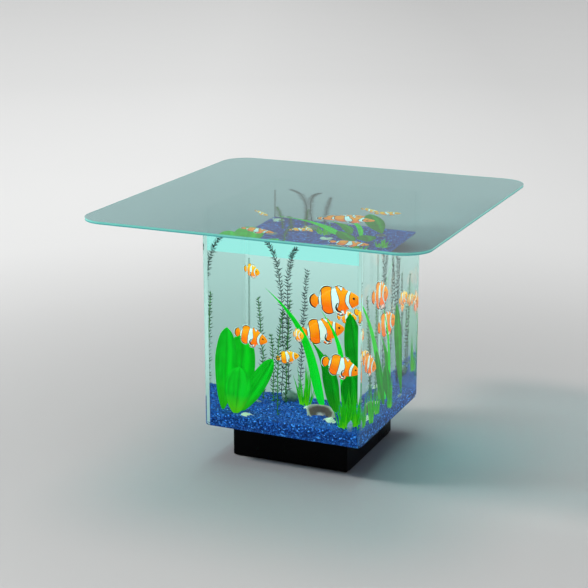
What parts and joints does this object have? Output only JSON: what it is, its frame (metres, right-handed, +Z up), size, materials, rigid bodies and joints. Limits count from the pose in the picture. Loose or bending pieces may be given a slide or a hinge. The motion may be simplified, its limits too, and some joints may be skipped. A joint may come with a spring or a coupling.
{
  "type": "aquarium on stand",
  "caption": "Square glass aquarium on a black plinth under a round-cornered glass tabletop, with planting, fish, and the pump and valves in the plinth.",
  "frame": {"origin": "centre of the footprint on the floor, under the middle of the plinth and the tabletop", "axes": "+Z up, +X right and -Y front, square to the tank's panes; the service door faces +Y"},
  "size_m": [1, 1, 0.753],
  "materials": {
    "black_lacquer": "black gloss lacquer",
    "board": "black stained board",
    "screw_steel": "plain steel",
    "hinge_steel": "satin steel",
    "foot_rubber": "matt",
    "mat_foam": "matt foam",
    "tank_glass": "clear with a pale green-blue tint",
    "tabletop_glass": "teal tinted, polished",
    "clear_silicone": "clear",
    "gravel": "blue coloured gravel",
    "black_plastic": "moulded",
    "grey_plastic": "moulded",
    "hose_rubber": "smooth",
    "impeller_plastic": "moulded",
    "magnet": "sintered ferrite",
    "valve_chrome": "polished",
    "lever_red": "gloss",
    "broad_leaf": "waxy leaf",
    "dark_leaf": "waxy leaf",
    "sword_leaf": "waxy leaf",
    "grass": "waxy leaf",
    "fern": "fine needles",
    "river_stone": "smooth",
    "shell": "ribbed shell",
    "oyster": "rough shell",
    "clownfish": "orange with white bands"
  },
  "bodies": {
    "aquarium": {"plinth_base": "board", "plinth_front": "black_lacquer", "plinth_back": "black_lacquer", "plinth_left": "black_lacquer", "plinth_right": "black_lacquer", "plinth_deck": "board", "plinth_cleats": "board", "plinth_screws": "screw_steel", "plinth_feet": "foot_rubber", "leveling_mat": "mat_foam", "tank_floor": "tank_glass", "tank_front": "tank_glass", "tank_back": "tank_glass", "tank_left": "tank_glass", "tank_right": "tank_glass", "tank_seams": "clear_silicone", "rim_bumpers": "clear_silicone", "gravel_bed": "gravel", "intake_bulkhead": "black_plastic", "return_bulkhead": "black_plastic", "bulkhead_gaskets": "foot_rubber", "bulkhead_nuts": "black_plastic", "intake_strainer": "black_plastic", "return_diffuser": "black_plastic", "intake_elbow": "grey_plastic", "return_elbow": "grey_plastic", "intake_valve_body": "grey_plastic", "return_valve_body": "grey_plastic", "intake_hose": "hose_rubber", "return_hose": "hose_rubber", "pump_body": "black_plastic", "pump_cover": "black_plastic", "pump_cover_screws": "screw_steel", "pump_shaft": "screw_steel", "pump_feet": "foot_rubber", "cable_grommet": "foot_rubber", "hinge_leaves": "hinge_steel", "hinge_pins": "hinge_steel", "door_catch": "grey_plastic", "broad_leaves": "broad_leaf", "tall_leaves": "dark_leaf", "sword_blades": "sword_leaf", "grass_tufts": "grass", "fern_stems": "fern", "river_stones": "river_stone", "shells": "shell", "oyster_shell": "oyster", "clownfish": "clownfish"},
    "tabletop": {"tabletop": "tabletop_glass"},
    "service_door": {"service_door": "black_lacquer", "door_leaves": "hinge_steel", "door_knob": "hinge_steel"},
    "pump_spinner": {"pump_impeller": "impeller_plastic", "pump_rotor": "magnet"},
    "intake_valve": {"intake_valve_ball": "valve_chrome", "intake_valve_lever": "lever_red"},
    "return_valve": {"return_valve_ball": "valve_chrome", "return_valve_lever": "lever_red"}
  },
  "joints": [
    {"name": "tabletop_lift", "type": "slide", "parent": "aquarium", "child": "tabletop", "axis": [0, 0, 1], "range_m": [0, 0.25]},
    {"name": "service_door_hinge", "type": "hinge", "parent": "aquarium", "child": "service_door", "pos_m": [-0.1, 0.184, 0.051], "axis": [0, 0, 1], "range_deg": [0, 105]},
    {"name": "pump_impeller_spin", "type": "hinge", "parent": "aquarium", "child": "pump_spinner", "pos_m": [0, -0.08, 0.051], "axis": [1, 0, 0], "continuous": true},
    {"name": "intake_valve_turn", "type": "hinge", "parent": "aquarium", "child": "intake_valve", "pos_m": [-0.11, 0.012, 0.051], "axis": [0, 0, 1], "range_deg": [0, 90]},
    {"name": "return_valve_turn", "type": "hinge", "parent": "aquarium", "child": "return_valve", "pos_m": [-0.027, 0.002, 0.051], "axis": [0, 0, 1], "range_deg": [0, 90]}
  ]
}
